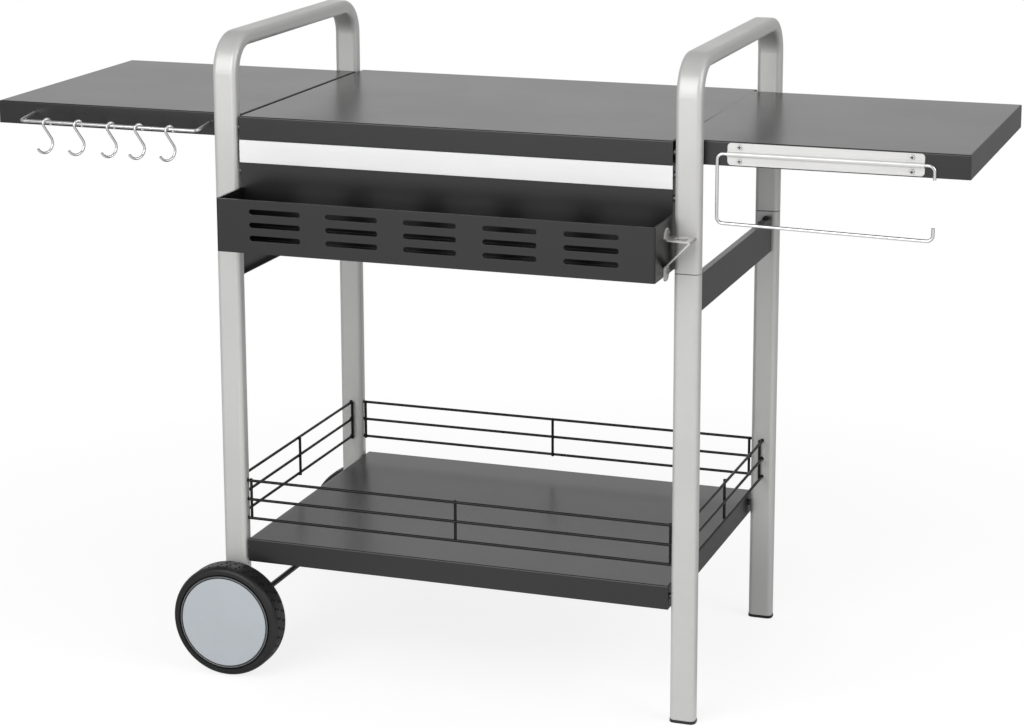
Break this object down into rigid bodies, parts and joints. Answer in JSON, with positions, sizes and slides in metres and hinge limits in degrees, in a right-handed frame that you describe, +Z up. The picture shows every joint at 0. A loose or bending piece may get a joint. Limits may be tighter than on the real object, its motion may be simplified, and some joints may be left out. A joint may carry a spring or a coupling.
{
  "type": "grill cart with storage",
  "caption": "Wheeled grill cart with a centre table, side tables, slotted front basket, bottle opener, hook rail, roll holder and railed lower shelf.",
  "frame": {"origin": "on the floor, under the centre of the cart's bounding box", "axes": "+X along the cart from the wheels to the legs that stand on feet, +Y from the basket's side to the rear, +Z up"},
  "size_m": [1.376, 0.5696, 0.906],
  "materials": {
    "silver_paint": "satin silver paint",
    "anthracite_paint": "satin anthracite powder coat",
    "black_wire": "satin black paint",
    "bright_trim": "bright satin metal",
    "brushed_steel": "brushed stainless steel",
    "chrome_wire": "polished wire",
    "zinc_steel": "zinc plated",
    "black_screw": "black plated",
    "black_plastic": "matte black plastic",
    "rim_plastic": "glossy black plastic",
    "tyre_rubber": "matte rubber",
    "hubcap_grey": "satin blue-grey plastic"
  },
  "bodies": {
    "cart": {"upper_frame_left": "silver_paint", "upper_frame_right": "silver_paint", "leg_front_left": "silver_paint", "leg_rear_left": "silver_paint", "leg_front_right": "silver_paint", "leg_rear_right": "silver_paint", "joint_spigots": "zinc_steel", "wing_screws": "black_plastic", "wing_nuts": "zinc_steel", "foot_caps": "black_plastic", "leg_plugs": "black_plastic", "side_rail_left": "anthracite_paint", "side_rail_right": "anthracite_paint", "rail_screws": "black_screw", "centre_table": "anthracite_paint", "side_table_left": "anthracite_paint", "side_table_right": "anthracite_paint", "side_table_bolts": "zinc_steel", "side_table_washers": "zinc_steel", "link_bolts": "zinc_steel", "link_nuts": "zinc_steel", "link_spacers": "zinc_steel", "frame_bolts": "zinc_steel", "frame_spacers": "zinc_steel", "front_panel": "anthracite_paint", "trim_strip": "bright_trim", "basket": "anthracite_paint", "basket_screws": "black_screw", "bottle_opener": "brushed_steel", "opener_screws": "zinc_steel", "lower_shelf": "anthracite_paint", "guard_front": "black_wire", "guard_rear": "black_wire", "guard_left": "black_wire", "guard_right": "black_wire", "axle": "black_wire", "axle_spacers": "black_wire", "axle_nuts": "zinc_steel", "hook_rail": "chrome_wire", "hook_rail_nuts": "zinc_steel", "roll_plate": "brushed_steel", "roll_plate_screws": "zinc_steel"},
    "front_wheel": {"tyre_front": "tyre_rubber", "rim_front": "rim_plastic", "hubcap_front": "hubcap_grey"},
    "rear_wheel": {"tyre_rear": "tyre_rubber", "rim_rear": "rim_plastic", "hubcap_rear": "hubcap_grey"},
    "roll_bar": {"roll_wire": "chrome_wire"},
    "hook_1": {"s_hook_1": "chrome_wire"},
    "hook_2": {"s_hook_2": "chrome_wire"},
    "hook_3": {"s_hook_3": "chrome_wire"},
    "hook_4": {"s_hook_4": "chrome_wire"},
    "hook_5": {"s_hook_5": "chrome_wire"}
  },
  "joints": [
    {"name": "front_wheel_spin", "type": "hinge", "parent": "cart", "child": "front_wheel", "pos_m": [-0.3275, -0.2326, 0.08], "axis": [0, 1, 0], "continuous": true},
    {"name": "rear_wheel_spin", "type": "hinge", "parent": "cart", "child": "rear_wheel", "pos_m": [-0.3275, 0.264, 0.08], "axis": [0, 1, 0], "continuous": true},
    {"name": "roll_bar_swing", "type": "hinge", "parent": "cart", "child": "roll_bar", "pos_m": [0.5025, -0.19085, 0.779], "axis": [-1, 0, 0], "range_deg": [0, 100]},
    {"name": "hook_1_swing", "type": "hinge", "parent": "cart", "child": "hook_1", "pos_m": [-0.58984, -0.23, 0.7755], "axis": [1, 0, 0], "range_deg": [-70, 45]},
    {"name": "hook_2_swing", "type": "hinge", "parent": "cart", "child": "hook_2", "pos_m": [-0.54088, -0.23, 0.7755], "axis": [1, 0, 0], "range_deg": [-70, 45]},
    {"name": "hook_3_swing", "type": "hinge", "parent": "cart", "child": "hook_3", "pos_m": [-0.49056, -0.23, 0.7755], "axis": [1, 0, 0], "range_deg": [-70, 45]},
    {"name": "hook_4_swing", "type": "hinge", "parent": "cart", "child": "hook_4", "pos_m": [-0.44758, -0.23, 0.7755], "axis": [1, 0, 0], "range_deg": [-70, 45]},
    {"name": "hook_5_swing", "type": "hinge", "parent": "cart", "child": "hook_5", "pos_m": [-0.4008, -0.23, 0.7755], "axis": [1, 0, 0], "range_deg": [-70, 45]}
  ]
}
